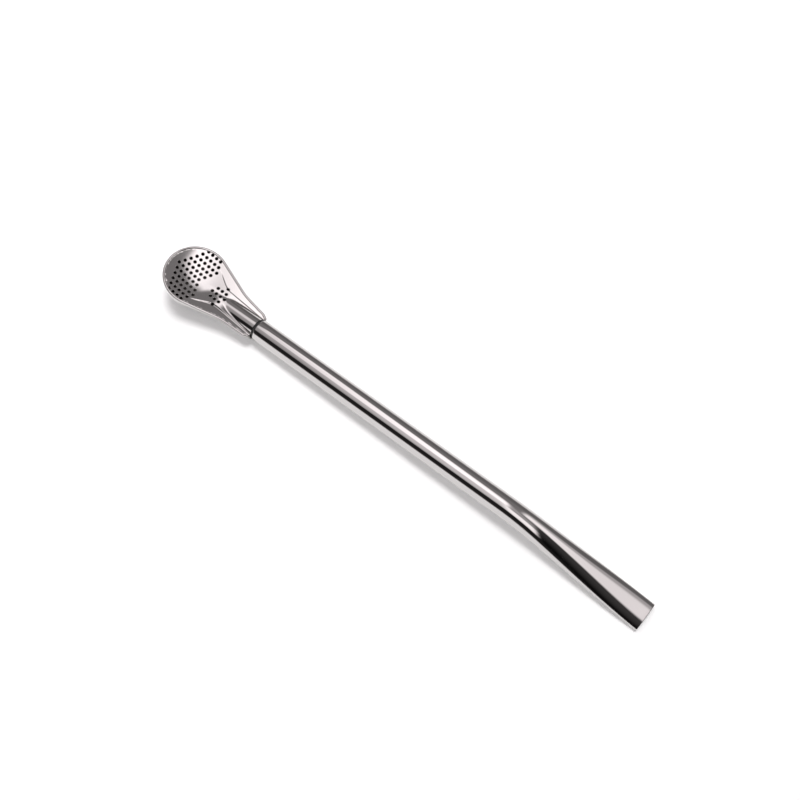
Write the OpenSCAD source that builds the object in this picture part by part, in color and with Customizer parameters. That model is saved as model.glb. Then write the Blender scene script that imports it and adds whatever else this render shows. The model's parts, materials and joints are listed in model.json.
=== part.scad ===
// Bombilla: a metal drinking straw for mate with a spoon-shaped filter.
// It lies face up: the bowl of the filter and the lip of the mouthpiece both
// touch Z = 0, the tube runs close to X and the filter is at the -X end.

/* [Tube] */
// Outside diameter of the drawn tube
tube_od = 7.5; // [6.8:0.1:9]
// Wall of the tube
tube_wall = 0.5; // [0.4:0.05:0.6]
// Length of the straight tube, from the filter joint to the bend
tube_len = 103.5; // [80:0.5:150]
// Radius on the rim of the tube at the filter joint
tube_edge_r = 0.4; // [0.1:0.05:0.4]

/* [Mouthpiece] */
// Length of the bent and flattened end, along its centre line
mouth_len = 48.4; // [40:0.2:65]
// Width of the flattened end
mouth_w = 10.2; // [8.5:0.1:11]
// Thickness of the flattened end
mouth_t = 2.9; // [2.4:0.1:4]
// Downward bend of the flattened end, in degrees
mouth_bend = 8.1; // [6:0.1:10]
// Radius of the bend on the centre line
bend_r = 39; // [30:1:60]
// Distance from the bend at which the tube starts to flatten
flat_from = 5; // [0:0.5:10]
// Roundness of the flattened section: 2 is an ellipse, more is squarer
mouth_square = 2.4; // [2:0.1:3]
// Radius on the lip
lip_r = 0.2; // [0.1:0.05:0.2]

/* [Neck joint] */
// Diameter of the screw thread that holds the filter
thread_d = 5; // [4.6:0.1:5]
// Pitch of the thread
thread_pitch = 0.8; // [0.5:0.1:1]
// Turns of thread engaged when the filter is screwed home
thread_turns = 6; // [4:0.5:8]
// Bore of the spigot
spigot_bore = 3.4; // [2.5:0.1:3.6]
// Diameter of the spigot where the filter shells are brazed on
barrel_d = 5.6; // [5.4:0.1:5.8]
// Length of the spigot inside the shells
barrel_len = 5; // [3:0.1:7]
// Squeezed thickness of the rubber ring
seal_t = 0.85; // [0.6:0.05:1.2]
// Outside diameter of the rubber ring
seal_od = 6.9; // [6.4:0.1:7.2]
// Radial play between the thread crests and the socket
thread_play = 0.1; // [0.05:0.01:0.15]
// Gap filled by braze between parts that are joined for good
braze_gap = 0.1; // [0.08:0.01:0.12]
// Chamfer on the turned edges of the screw and its socket
turned_edge = 0.3; // [0.1:0.05:0.4]

/* [Filter shells] */
// Outside radius of the round bowl
bowl_r = 10.8; // [9:0.1:12]
// Distance from the joint to the centre of the bowl
bowl_reach = 27.7; // [25:0.1:32]
// Upward tilt of the front shell against the tube, in degrees
head_pitch = 12.3; // [10:0.1:14]
// Half angle at which the bowl tapers to the waist
taper = 17.5; // [15:0.5:19]
// Half angle between the waist and the shoulder
neck_taper = 6; // [4:0.5:8]
// How far the rim's shoulder stands out from the neck of the front shell
shoulder_flare = 1.68; // [1.5:0.02:1.8]
// Half angle of the shoulder at the joint
shoulder = 26; // [22:1:28]
// Distance from the joint to the centre of the shoulder's bend
shoulder_reach = 3.2; // [3:0.1:4]
// Radius of the shoulder's bend
shoulder_r = 2; // [1.5:0.1:2.5]
// Sheet thickness of both shells
sheet = 0.45; // [0.35:0.05:0.6]
// Height of the rim above the axis of the bowl
rim_rise = 0.1; // [0:0.05:0.5]
// Diameter of the rolled rim that holds the front shell
rim_d = 1; // [0.8:0.1:1.4]
// Distance of the rolled rim's centre inside the bowl's wall
rim_inset = 0.3; // [0.2:0.05:0.4]
// Play of the front shell inside the rolled rim
crimp_gap = 0.04; // [0.03:0.01:0.06]
// Depth of the dished front shell
dish_depth = 1.2; // [0.8:0.1:1.6]
// Distance from the joint at which the front shell starts to dip
dish_from = 10; // [8:0.5:12]
// Distance from the joint at which it has its full depth
dish_to = 24; // [22:0.5:27]
// Height of the fan that the neck spreads into
fan_height = 0.25; // [0.1:0.05:0.5]
// Half width of the fan at the neck
fan_w_neck = 3.7; // [3.4:0.1:4.2]
// Half width of the fan where it runs out into the bowl
fan_w_bowl = 7.9; // [7:0.1:8.4]
// Distance from the joint at which the fan starts to spread
fan_from = 15.5; // [13:0.5:17]
// Distance from the joint at which the fan has run out
fan_to = 26; // [23:0.5:28]

/* [Perforation] */
// Diameter of the filter holes
hole_d = 1; // [0.6:0.05:1.1]
// Step between holes in a row
hole_step = 1.75; // [1.5:0.05:2]
// Step between rows
row_step = 1.88; // [1.6:0.01:1.95]
// Distance of the first hole from the tip of the bowl
tip_margin = 3.4; // [2.8:0.1:5]
// Distance from the joint to the first hole of the small group
small_reach = 20.6; // [19:0.1:21]

/* [Hidden] */
$fn = 64;

steel = [0.58, 0.57, 0.56];
turned = [0.72, 0.70, 0.66];
rubber = [0.05, 0.05, 0.05];
tube_r = tube_od / 2;
bore_r = tube_r - tube_wall;
barrel_r = barrel_d / 2;
thread_r = thread_d / 2;
thread_len = thread_turns * thread_pitch;
socket_r = thread_r + thread_play;
neck_r = barrel_r + braze_gap + sheet;

// The flattened end: its straight stretch, its end point and how far it drops.
bend_len = bend_r * mouth_bend * PI / 180;
flat_len = mouth_len - bend_len;
end_x = tube_len + bend_r * sin(mouth_bend) + flat_len * cos(mouth_bend);
end_drop = bend_r * (1 - cos(mouth_bend)) + flat_len * sin(mouth_bend);
lip_half = [mouth_t / 2 * sin(mouth_bend), mouth_t / 2 * cos(mouth_bend)];
lip_top = [end_x, -end_drop] + lip_half;
lip_low = [end_x, -end_drop] - lip_half;

// The part leans so that the bowl and the lip touch the table together.
rim_r = rim_d / 2;
path_r = bowl_r - rim_inset;
neck_x = -seal_t;
barrel_x = neck_x - barrel_len;
bowl_mid = bowl_reach * [-cos(head_pitch), sin(head_pitch)];
rise = bowl_mid[1] - lip_low[1];
run = lip_low[0] - bowl_mid[0];
lean = asin(bowl_r / norm([run, rise])) - atan2(rise, run);
function laid(p) = [p[0] * cos(lean) + p[1] * sin(lean), p[1] * cos(lean) - p[0] * sin(lean)];
axis_h = bowl_r - laid(bowl_mid)[1];
rim_tip = bowl_mid + path_r * [-cos(head_pitch), sin(head_pitch)]
    + rim_rise * [sin(head_pitch), cos(head_pitch)];
joint_x = -(laid(rim_tip)[0] - rim_r + laid(lip_top)[0]) / 2;

// Steps used for the curved outlines and the lofted shells.
ARC_STEPS = 20;
SHOULDER_STEPS = 3;
LOFT_SIDES = 40;
LOFT_RINGS = 12;
BEND_RINGS = 4;
RIM_SIDES = 12;
FACE_ROWS = 34;
FACE_COLS = 28;
EVEN_ROWS = 0.35;
HOLE_SIDES = 16;
LONG = 400;
EPS = 0.01;

// Moves a part from the joint's frame to where it lies.
module lying() {
    translate([joint_x, 0, axis_h]) rotate([0, lean, 0]) children();
}

// The filter's own frame: X along the bowl, Z = 0 in the plane of the rim.
module in_head() {
    rotate([0, head_pitch, 0]) translate([0, 0, rim_rise]) children();
}

// A round bar along X from x0 to x1.
module bar(r, x0, x1) {
    translate([x0, 0, 0]) rotate([0, 90, 0]) cylinder(r = r, h = x1 - x0);
}

// A turned part: its section is a list of [radius, position along X].
module turned_about_x(section) {
    rotate([0, 90, 0]) rotate_extrude() polygon(section);
}

// Half of the teardrop outline, moved out by off, from the tip to the neck.
// The neck line starts from the spigot, and meets the bowl's taper at the waist.
function taper_y(off, x) = (path_r + off - sin(taper) * (x + bowl_reach)) / cos(taper);
function neck_y(off, x) = neck_r + shoulder_flare + off / cos(neck_taper)
    - (x + shoulder_reach) * tan(neck_taper);
function waist(off) = let (x = (taper_y(off, 0) - neck_y(off, 0)) / (tan(taper) - tan(neck_taper)))
    [x, taper_y(off, x)];
shoulder_y = neck_y(-shoulder_r, -shoulder_reach);
function shoulder_end(off) = [
    -shoulder_reach + (shoulder_r + off) * sin(shoulder),
    shoulder_y + (shoulder_r + off) * cos(shoulder)
];
function neck_end(off, x) = shoulder_end(off)[1] - (x - shoulder_end(off)[0]) * tan(shoulder);
function half_outline(off, x_end) = concat(
    [for (i = [0:ARC_STEPS]) let (a = i * (90 + taper) / ARC_STEPS)
        [-bowl_reach - (path_r + off) * cos(a), (path_r + off) * sin(a)]],
    [waist(off)],
    [for (i = [0:SHOULDER_STEPS]) let (a = neck_taper + i * (shoulder - neck_taper) / SHOULDER_STEPS)
        [-shoulder_reach + (shoulder_r + off) * sin(a), shoulder_y + (shoulder_r + off) * cos(a)]],
    [[x_end, neck_end(off, x_end)]]
);
function mirrored(points) = [for (i = [len(points) - 1:-1:1]) [points[i][0], -points[i][1]]];
module outline(off, x_end) {
    half = half_outline(off, x_end);
    polygon(concat(half, mirrored(half)));
}

// Solid pear: the half outline turned about the axis of the bowl.
module pear(off, x_end) {
    half = half_outline(off, x_end);
    translate([0, 0, -rim_rise]) rotate([0, 90, 0]) rotate_extrude()
        polygon(concat([for (p = half) [p[1], p[0]]], [[0, x_end]]));
}

// A closed solid through a list of rings with equally many points.
module loft(rings) {
    n = len(rings[0]);
    last = len(rings) - 1;
    points = [for (ring = rings) each ring];
    sides = [for (k = [0:last - 1]) for (i = [0:n - 1]) let (j = (i + 1) % n, a = k * n, b = a + n)
        each [[b + j, a + j, a + i], [b + i, b + j, a + i]]];
    near_cap = [[for (i = [0:n - 1]) i]];
    far_cap = [[for (i = [n - 1:-1:0]) last * n + i]];
    polyhedron(points, concat(sides, near_cap, far_cap));
}

// The rolled rim: a round bar that follows the outline in the plane of the rim.
// Its path is a list of [point, outward direction], from the tip to the neck.
function rim_stop(angle, centre, r) = [
    [centre[0] + r * cos(angle), centre[1] + r * sin(angle)], [cos(angle), sin(angle)]
];
function half_rim() = let (last = rim_stop(90 - shoulder, [-shoulder_reach, shoulder_y], shoulder_r))
    concat(
        [for (i = [0:ARC_STEPS]) rim_stop(180 - i * (90 + taper) / ARC_STEPS, [-bowl_reach, 0], path_r)],
        [[waist(0), rim_stop(90 - (taper + neck_taper) / 2, waist(0), 0)[1]]],
        [for (i = [0:SHOULDER_STEPS])
            rim_stop(90 - neck_taper - i * (shoulder - neck_taper) / SHOULDER_STEPS,
                [-shoulder_reach, shoulder_y], shoulder_r)],
        [[[rim_d, neck_end(0, rim_d)], last[1]]]
    );
function other_side(stop) = [[stop[0][0], -stop[0][1]], [stop[1][0], -stop[1][1]]];
function rim_ring(stop) = [for (i = [0:RIM_SIDES - 1])
    let (f = (i + 0.5) * 360 / RIM_SIDES, out = rim_r * cos(f))
    [stop[0][0] + out * stop[1][0], stop[0][1] + out * stop[1][1], rim_r * sin(f)]];
module rolled_rim() {
    half = half_rim();
    around = concat([for (i = [len(half) - 1:-1:1]) other_side(half[i])], half);
    loft([for (stop = around) rim_ring(stop)]);
}

// Flattened end of the tube: rings lofted along the bent centre line.
function ease(t) = t * t * (3 - 2 * t);
function path_angle(s) = mouth_bend * min(1, max(0, s / bend_len));
function path_point(s) =
    let (a = path_angle(s), past = max(0, s - bend_len), before = min(0, s))
    [tube_len + before + bend_r * sin(a) + past * cos(a), -bend_r * (1 - cos(a)) - past * sin(a)];
function squash(v, power) = sign(v) * pow(abs(v), power);
function mouth_ring(s, inset) =
    let (t = ease(min(1, max(0, (s - flat_from) / (mouth_len - flat_from)))),
        c = path_point(s), a = path_angle(s),
        half_w = tube_r + (mouth_w / 2 - tube_r) * t - inset,
        half_t = tube_r + (mouth_t / 2 - tube_r) * t - inset,
        power = 2 / (2 + (mouth_square - 2) * t))
    [for (i = [0:LOFT_SIDES - 1])
        let (f = (i + 0.5) * 360 / LOFT_SIDES, y = half_w * squash(cos(f), power),
            z = half_t * squash(sin(f), power))
        [c[0] + z * sin(a), y, c[1] + z * cos(a)]];
function ring_steps(end) = concat([-tube_wall],
    [for (k = [0:BEND_RINGS - 1]) bend_len * k / BEND_RINGS],
    [for (k = [0:LOFT_RINGS]) bend_len + (end - bend_len) * k / LOFT_RINGS]);
module mouth_outside() {
    loft(concat([for (s = ring_steps(mouth_len - lip_r)) mouth_ring(s, EPS)],
        [mouth_ring(mouth_len, lip_r)]));
}
module mouth_inside() {
    loft([for (s = ring_steps(mouth_len + tube_wall)) mouth_ring(s, tube_wall + EPS)]);
}

// Drawn tube with its bent and flattened mouthpiece, in one piece.
module straw_tube() color(steel) lying() difference() {
    union() {
        rotate([0, 90, 0]) rotate_extrude() difference() {
            square([tube_r, tube_len]);
            translate([tube_r - tube_edge_r, 0]) difference() {
                square(tube_edge_r);
                translate([0, tube_edge_r]) circle(r = tube_edge_r);
            }
        }
        mouth_outside();
    }
    bar(bore_r, -tube_wall, tube_len);
    mouth_inside();
}

// Threaded bush brazed inside the end of the tube.
module tube_socket() color(turned) lying() turned_about_x([
    [socket_r, turned_edge], [socket_r + turned_edge, 0], [bore_r - braze_gap, 0],
    [bore_r - braze_gap, thread_len + tube_wall], [socket_r, thread_len + tube_wall]
]);

// Turned spigot: a plain barrel for the shells and a screw for the socket.
module neck_spigot() color(turned) lying() turned_about_x([
    [spigot_bore / 2, barrel_x], [barrel_r - turned_edge, barrel_x],
    [barrel_r, barrel_x + turned_edge], [barrel_r, neck_x], [thread_r, neck_x],
    [thread_r, thread_len - turned_edge], [thread_r - turned_edge, thread_len],
    [spigot_bore / 2, thread_len]
]);

// Rubber ring squeezed between the shells and the tube.
module neck_seal() color(rubber) lying() rotate([0, 90, 0]) rotate_extrude() {
    flat_r = seal_od / 2 - seal_t / 2;
    translate([socket_r, neck_x]) square([flat_r - socket_r, seal_t]);
    translate([flat_r, neck_x / 2]) circle(r = seal_t / 2);
}

// Front shell: a shallow dish with the half-round neck fanning out into it.
// Under the rolled rim it is flat.
function edge_distance(x, y) = let (a = atan2(abs(y), -(x + bowl_reach)))
    min(a <= 90 + taper
            ? path_r - norm([x + bowl_reach, y])
            : max((taper_y(0, x) - abs(y)) * cos(taper), (neck_y(0, x) - abs(y)) * cos(neck_taper)),
        shoulder_r - sin(shoulder) * (x + shoulder_reach) - cos(shoulder) * (abs(y) - shoulder_y));
function dish(x, y) = let (d = max(0, edge_distance(x, y) - rim_r) / (path_r - rim_r),
        dip = ease(min(1, max(0, (-x - dish_from) / (dish_to - dish_from)))))
    -dish_depth * dip * (1 - pow(1 - d, 2));
function fan_half(x) = let (t = ease(min(1, max(0, (-x - fan_from) / (fan_to - fan_from)))))
    fan_w_neck + (fan_w_bowl - fan_w_neck) * t;
function fan(x, y) =
    let (across = ease(min(1, max(0, (fan_half(x) - abs(y)) / sheet))),
        along = ease(min(1, max(0, (fan_to + x) / (fan_to - fan_from)))))
    fan_height * across * along;
function neck_top(x, y, r) = -rim_rise + x * tan(head_pitch)
    + sqrt(max(0, r * r - y * y)) / cos(head_pitch);
function face_top(x, y) = max(dish(x, y) + fan(x, y), neck_top(x, y, neck_r)) + sheet / 2;
function face_bottom(x, y) = max(dish(x, y) + fan(x, y) - sheet / 2,
    neck_top(x, y, neck_r - sheet));
function half_width(x) = let (u = x + bowl_reach, turn = path_r * sin(taper))
    min(u <= turn
            ? sqrt(max(0, path_r * path_r - u * u))
            : max(taper_y(0, x), neck_y(0, x)),
        neck_end(0, x));
function row_x(k) = let (t = 1 - cos(90 * k / FACE_ROWS), from = -bowl_reach - path_r)
    from + (rim_d - from) * (EVEN_ROWS * k / FACE_ROWS + (1 - EVEN_ROWS) * t);
function face_row(k, top) = let (x = row_x(k), w = half_width(x))
    [for (j = [0:FACE_COLS]) let (y = w * sin(90 * (2 * j / FACE_COLS - 1)))
        [x, y, top ? face_top(x, y) : face_bottom(x, y)]];
module face_sheet() {
    n = FACE_COLS + 1;
    tip = -bowl_reach - path_r;
    tops = [for (k = [1:FACE_ROWS]) each face_row(k, true)];
    bottoms = [for (k = [1:FACE_ROWS]) each face_row(k, false)];
    half = FACE_ROWS * n;
    points = concat(tops, bottoms, [[tip, 0, sheet / 2], [tip, 0, -sheet / 2]]);
    tip_top = 2 * half;
    tip_low = tip_top + 1;
    last = (FACE_ROWS - 1) * n;
    skins = [for (k = [0:FACE_ROWS - 2]) for (j = [0:FACE_COLS - 1]) let (a = k * n + j, b = a + n)
        each [[a, a + 1, b + 1], [a, b + 1, b],
            [half + a, half + b + 1, half + a + 1], [half + a, half + b, half + b + 1]]];
    fans = [for (j = [0:FACE_COLS - 1])
        each [[tip_top, j + 1, j], [tip_low, half + j, half + j + 1]]];
    rims = [for (k = [0:FACE_ROWS - 2]) for (edge = [0, FACE_COLS]) let (a = k * n + edge, b = a + n)
        each edge == 0
            ? [[a, b, half + b], [a, half + b, half + a]]
            : [[a, half + b, b], [a, half + a, half + b]]];
    ends = [for (j = [0:FACE_COLS - 1]) let (a = last + j)
        each [[a, a + 1, half + a + 1], [a, half + a + 1, half + a]]];
    tip_edges = [[tip_top, 0, half], [tip_top, half, tip_low],
        [tip_top, half + FACE_COLS, FACE_COLS], [tip_top, tip_low, half + FACE_COLS]];
    polyhedron(points, [for (f = concat(skins, fans, rims, ends, tip_edges)) [f[2], f[1], f[0]]]);
}

// Rows of holes: each row is [rows from the middle, first step, number of holes].
MAIN_ROWS = [[0, 0, 6], [1, 0.5, 6], [2, 1, 6], [3, 1.5, 6], [4, 2, 5], [5, 2.5, 4]];
SMALL_ROWS = [[0, 0, 4], [1, 0.5, 3], [2, 2, 1]];
module hole_group(rows, x0) {
    for (row = rows) for (side = row[0] == 0 ? [1] : [-1, 1]) for (i = [0:row[2] - 1])
        translate([x0 + (row[1] + i) * hole_step, side * row[0] * row_step, -2 * dish_depth - sheet])
            cylinder(d = hole_d, h = 3 * dish_depth + 2 * sheet, $fn = HOLE_SIDES);
}
module past_neck() {
    translate([neck_x, -LONG / 2, -LONG / 2]) cube(LONG);
}
module filter_face() color(steel) lying() difference() {
    in_head() difference() {
        face_sheet();
        hole_group(MAIN_ROWS, -bowl_reach - path_r - rim_r + tip_margin);
        hole_group(SMALL_ROWS, -small_reach);
    }
    past_neck();
}

// Back shell: half a pear with a rolled rim and a sleeve that grips the spigot.
module below_rim(depth) {
    in_head() translate([-LONG, -LONG / 2, -LONG]) cube([2 * LONG, LONG, LONG - depth]);
}
module back_sheet() {
    intersection() {
        in_head() difference() {
            pear(rim_inset, rim_d);
            pear(rim_inset - sheet, rim_d + EPS);
        }
        below_rim(sheet / 2);
    }
    intersection() {
        bar(neck_r + sheet, barrel_x, neck_x);
        below_rim(sheet + dish_depth / 2);
    }
}
module filter_back() color(steel) lying() difference() {
    union() {
        back_sheet();
        in_head() rolled_rim();
    }
    in_head() translate([0, 0, -sheet / 2 - crimp_gap])
        linear_extrude(sheet + 2 * crimp_gap) outline(crimp_gap, rim_d);
    bar(barrel_r + braze_gap, barrel_x - barrel_len, rim_d);
    past_neck();
}

straw_tube();
tube_socket();
neck_spigot();
neck_seal();
filter_face();
filter_back();
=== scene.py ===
# %% [markdown]
# # A bombilla, from its solids to its photograph
# A bombilla is the metal straw that mate is drunk through. This one is a drawn steel tube with a
# flattened mouthpiece, and a spoon-shaped strainer that screws on to its other end. The solids are
# already packed as a frame: they say where every piece is and how it moves. This script dresses
# them, piece by piece, and then builds the small studio that the straw lies in.

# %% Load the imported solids
import json
import math

import bmesh
import bpy
from mathutils import Matrix, Vector, geometry


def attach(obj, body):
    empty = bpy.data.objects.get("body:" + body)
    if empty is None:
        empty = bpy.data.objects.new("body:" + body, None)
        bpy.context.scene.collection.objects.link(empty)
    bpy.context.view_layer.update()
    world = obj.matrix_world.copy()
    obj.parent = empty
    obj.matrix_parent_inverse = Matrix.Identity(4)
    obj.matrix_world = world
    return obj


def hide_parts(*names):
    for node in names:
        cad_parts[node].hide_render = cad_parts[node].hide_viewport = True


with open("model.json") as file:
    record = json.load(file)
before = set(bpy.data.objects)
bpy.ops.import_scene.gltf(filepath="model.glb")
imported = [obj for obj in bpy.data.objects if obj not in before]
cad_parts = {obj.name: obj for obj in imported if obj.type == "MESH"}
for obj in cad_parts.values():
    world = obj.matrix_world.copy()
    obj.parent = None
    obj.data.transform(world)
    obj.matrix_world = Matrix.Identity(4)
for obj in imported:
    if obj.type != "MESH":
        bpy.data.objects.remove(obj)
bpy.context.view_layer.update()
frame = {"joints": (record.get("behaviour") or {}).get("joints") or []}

# %% [markdown]
# ## Two rulers to build with
# The straw doesn't lie square to the table: its bowl and its lip both touch it, so the tube leans
# by about a degree. Building in that leaning place would be awkward. It is easier to build along a
# straight X axis, in millimetres, and to lay the finished mesh down with one matrix. The screw
# joint in the record gives that matrix, because the strainer turns about the tube's own axis. The
# strainer has a second matrix: its rim is tilted up against the tube.

# %% Matrices for the tube and for the strainer
MM = 0.001
HEAD_PITCH = math.radians(12.3)
RIM_RISE = 0.1

screw = next(joint for joint in frame["joints"] if joint["name"] == "head_turn")
to_mouth = -Vector(screw["axis"]).normalized()
lean = math.atan2(-to_mouth.z, to_mouth.x)
along_tube = Matrix.Translation(screw["pos_m"]) @ Matrix.Rotation(lean, 4, "Y") @ Matrix.Scale(MM, 4)
tilt = Matrix.Rotation(HEAD_PITCH, 4, "Y") @ Matrix.Translation((0, 0, RIM_RISE))
along_head = along_tube @ tilt
print("the tube leans by", round(math.degrees(lean), 3), "degrees")


# %% [markdown]
# ## From a bmesh to a piece
# Each piece is modelled in a bmesh, laid down by its matrix and written to an object. The object
# could be moved instead of its mesh, but a pattern would then slide when the model is exported, so
# it stays at the origin. Then it is told which body it rides on, which solid it stands for and
# which finish it has.

# %% Helper that turns a bmesh into a riding piece
def lay_down(bm, name, place, body, node, materials, recalculate=True):
    if recalculate:
        bmesh.ops.recalc_face_normals(bm, faces=bm.faces)
    bm.transform(place)
    mesh = bpy.data.meshes.new(name)
    bm.to_mesh(mesh)
    bm.free()
    mesh.polygons.foreach_set("use_smooth", [True] * len(mesh.polygons))
    for material in materials:
        mesh.materials.append(material)
    piece = bpy.data.objects.new(name, mesh)
    bpy.context.scene.collection.objects.link(piece)
    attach(piece, body)
    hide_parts(node)
    triangles = sum(len(face.vertices) - 2 for face in mesh.polygons)
    print(name, "has", triangles, "triangles")
    return piece


# %% [markdown]
# ## Polished steel
# The tube and the strainer are stainless steel, buffed until they mirror the room. A mirror has no
# colour of its own to paint, and a perfect one looks drawn. What makes it real is what buffing
# leaves: a sheen that is a little uneven, and fine wheel marks. One noise spreads the roughness,
# and a second one, drawn out along the tube, is a bump so low that it only breaks the edges of
# reflections.

# %% Helpers for materials
NOISE_LOW = 0.3
NOISE_HIGH = 0.7


def start_material(name, colour, metallic):
    material = bpy.data.materials.new(name)
    material.use_nodes = True
    tree = material.node_tree
    shader = tree.nodes["Principled BSDF"]
    shader.inputs["Base Color"].default_value = (*colour, 1)
    shader.inputs["Metallic"].default_value = metallic
    return material, tree, shader


def noise_on_object(tree, scale, stretch=(1, 1, 1), detail=4.0):
    place = tree.nodes.new("ShaderNodeTexCoord")
    mapping = tree.nodes.new("ShaderNodeMapping")
    mapping.inputs["Scale"].default_value = stretch
    noise = tree.nodes.new("ShaderNodeTexNoise")
    noise.inputs["Scale"].default_value = scale
    noise.inputs["Detail"].default_value = detail
    tree.links.new(place.outputs["Object"], mapping.inputs["Vector"])
    tree.links.new(mapping.outputs["Vector"], noise.inputs["Vector"])
    return noise


def fade(tree, value, low, high, at_low, at_high, kind="SMOOTHSTEP"):
    node = tree.nodes.new("ShaderNodeMapRange")
    node.interpolation_type = kind
    tree.links.new(value, node.inputs["Value"])
    for name, number in (("From Min", low), ("From Max", high), ("To Min", at_low), ("To Max", at_high)):
        node.inputs[name].default_value = number
    return node.outputs["Result"]


def drive_roughness(tree, shader, pattern, low, high):
    level = fade(tree, pattern.outputs["Fac"], NOISE_LOW, NOISE_HIGH, low, high, kind="LINEAR")
    tree.links.new(level, shader.inputs["Roughness"])


def drive_bump(tree, shader, pattern, strength, distance):
    bump = tree.nodes.new("ShaderNodeBump")
    bump.inputs["Strength"].default_value = strength
    bump.inputs["Distance"].default_value = distance
    tree.links.new(pattern.outputs["Fac"], bump.inputs["Height"])
    tree.links.new(bump.outputs["Normal"], shader.inputs["Normal"])


# %% Polished steel, with an uneven sheen and wheel marks
def polished_steel():
    material, tree, shader = start_material("polished_steel", (0.58, 0.57, 0.56), metallic=1.0)
    sheen = noise_on_object(tree, scale=90)
    drive_roughness(tree, shader, sheen, low=0.03, high=0.09)
    wheel_marks = noise_on_object(tree, scale=5200, stretch=(0.12, 1, 1), detail=2.0)
    drive_bump(tree, shader, wheel_marks, strength=0.05, distance=0.00002)
    return material


mirror_steel = polished_steel()
print("finish:", mirror_steel.name)


# %% [markdown]
# ## Turned and drawn steel
# The screw and its socket come off a lathe and are never polished. The lathe leaves fine rings
# around the axis. They could be cut as geometry, but they are far finer than the thread, so a wave
# along X is the bump and the roughness is higher. The inside of the tube was drawn over a plug and
# keeps dull lines along its length, which are a noise that is stretched a long way.

# %% Turned steel for the screw, drawn steel for the bore
def turned_steel():
    material, tree, shader = start_material("turned_steel", (0.72, 0.70, 0.66), metallic=1.0)
    drive_roughness(tree, shader, noise_on_object(tree, scale=700), low=0.2, high=0.34)
    place = tree.nodes.new("ShaderNodeTexCoord")
    rings = tree.nodes.new("ShaderNodeTexWave")
    rings.bands_direction = "X"
    rings.inputs["Scale"].default_value = 2600
    rings.inputs["Distortion"].default_value = 0.6
    tree.links.new(place.outputs["Object"], rings.inputs["Vector"])
    drive_bump(tree, shader, rings, strength=0.25, distance=0.00001)
    return material


def drawn_steel():
    material, tree, shader = start_material("drawn_steel", (0.62, 0.61, 0.60), metallic=1.0)
    draw_lines = noise_on_object(tree, scale=2600, stretch=(0.02, 1, 1))
    drive_roughness(tree, shader, draw_lines, low=0.22, high=0.42)
    drive_bump(tree, shader, draw_lines, strength=0.2, distance=0.00004)
    return material


lathe_steel = turned_steel()
bore_steel = drawn_steel()
print("finishes:", lathe_steel.name, bore_steel.name)


# %% [markdown]
# ## Raw sheet, darkened with painted shade
# Only the outside of the strainer is buffed. Inside, and in the punched holes, the pressed sheet
# stays as it came from the tool: dull. Its colour is painted far darker than steel, as painted shade
# in the hollow strainer and on the walls of the holes. With the mirror finish there too, the holes
# would catch light from the far wall. The dark, dull sheet lets a hole look black from outside.

# %% Pressed steel for the inside of the strainer, painted dark as shade
def pressed_steel_with_painted_shade():
    material, tree, shader = start_material("pressed_steel_with_painted_shade", (0.2, 0.19, 0.17), metallic=1.0)
    grain = noise_on_object(tree, scale=1500)
    drive_roughness(tree, shader, grain, low=0.4, high=0.6)
    drive_bump(tree, shader, grain, strength=0.2, distance=0.00003)
    return material


raw_steel_with_painted_shade = pressed_steel_with_painted_shade()
print("finish:", raw_steel_with_painted_shade.name)


# %% [markdown]
# ## Black rubber
# The ring between strainer and tube is a moulded washer, squeezed until its edge bulges. Rubber of
# this kind is nearly black and satin, with a fine grain from the mould. The ring is thin in the
# picture, so one fine noise is enough for both its roughness and its grain.

# %% Satin rubber
def satin_rubber():
    material, tree, shader = start_material("satin_rubber", (0.03, 0.03, 0.03), metallic=0.0)
    grain = noise_on_object(tree, scale=4000)
    drive_roughness(tree, shader, grain, low=0.45, high=0.65)
    drive_bump(tree, shader, grain, strength=0.3, distance=0.00003)
    return material


ring_rubber = satin_rubber()
print("finish:", ring_rubber.name)

# %% [markdown]
# ## The straw
# The tube and the mouthpiece are one piece: the end of the tube is bent down a little and pressed
# flat. A curve with a bevel could follow the bend, but its section couldn't change from round to
# flat. So the straw starts as a circle that is swept in equal steps, which gives a plain cylinder
# with one ring for each stop, and then one function moves every ring to its place. The stops run
# out along the outside, round the lip, back along the bore and round the rim at the joint, so the
# wall is closed and has its real thickness. The solids bend with a tight radius. The photograph
# shows a softer bend, so this one has a larger radius about the same corner: it starts a little
# earlier, and the lip stays where it is.

# %% Sizes of the straw
TUBE_R = 3.75
WALL = 0.5
TUBE_TO_BEND = 103.5
TUBE_EDGE = 0.4
MOUTH_FROM_BEND = 48.4
MOUTH_W = 10.2
MOUTH_T = 2.9
MOUTH_BEND = math.radians(8.1)
BEND_R = 39.0
SOFT_BEND_R = 110.0
FLAT_FROM = 1.0
MOUTH_SQUARE = 2.4
BEND_LEN = SOFT_BEND_R * MOUTH_BEND
earlier = (SOFT_BEND_R - BEND_R) * math.tan(MOUTH_BEND / 2)
TUBE_LEN = TUBE_TO_BEND - earlier
MOUTH_LEN = MOUTH_FROM_BEND - earlier + (SOFT_BEND_R - BEND_R) * MOUTH_BEND
print("the bend starts", round(earlier, 2), "mm earlier than in the solids")


# %% Where a point of the straw's section goes
def clamp(value):
    return min(1.0, max(0.0, value))


def ease(t):
    t = clamp(t)
    return t * t * (3 - 2 * t)


def squash(value, power):
    return math.copysign(abs(value) ** power, value)


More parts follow.
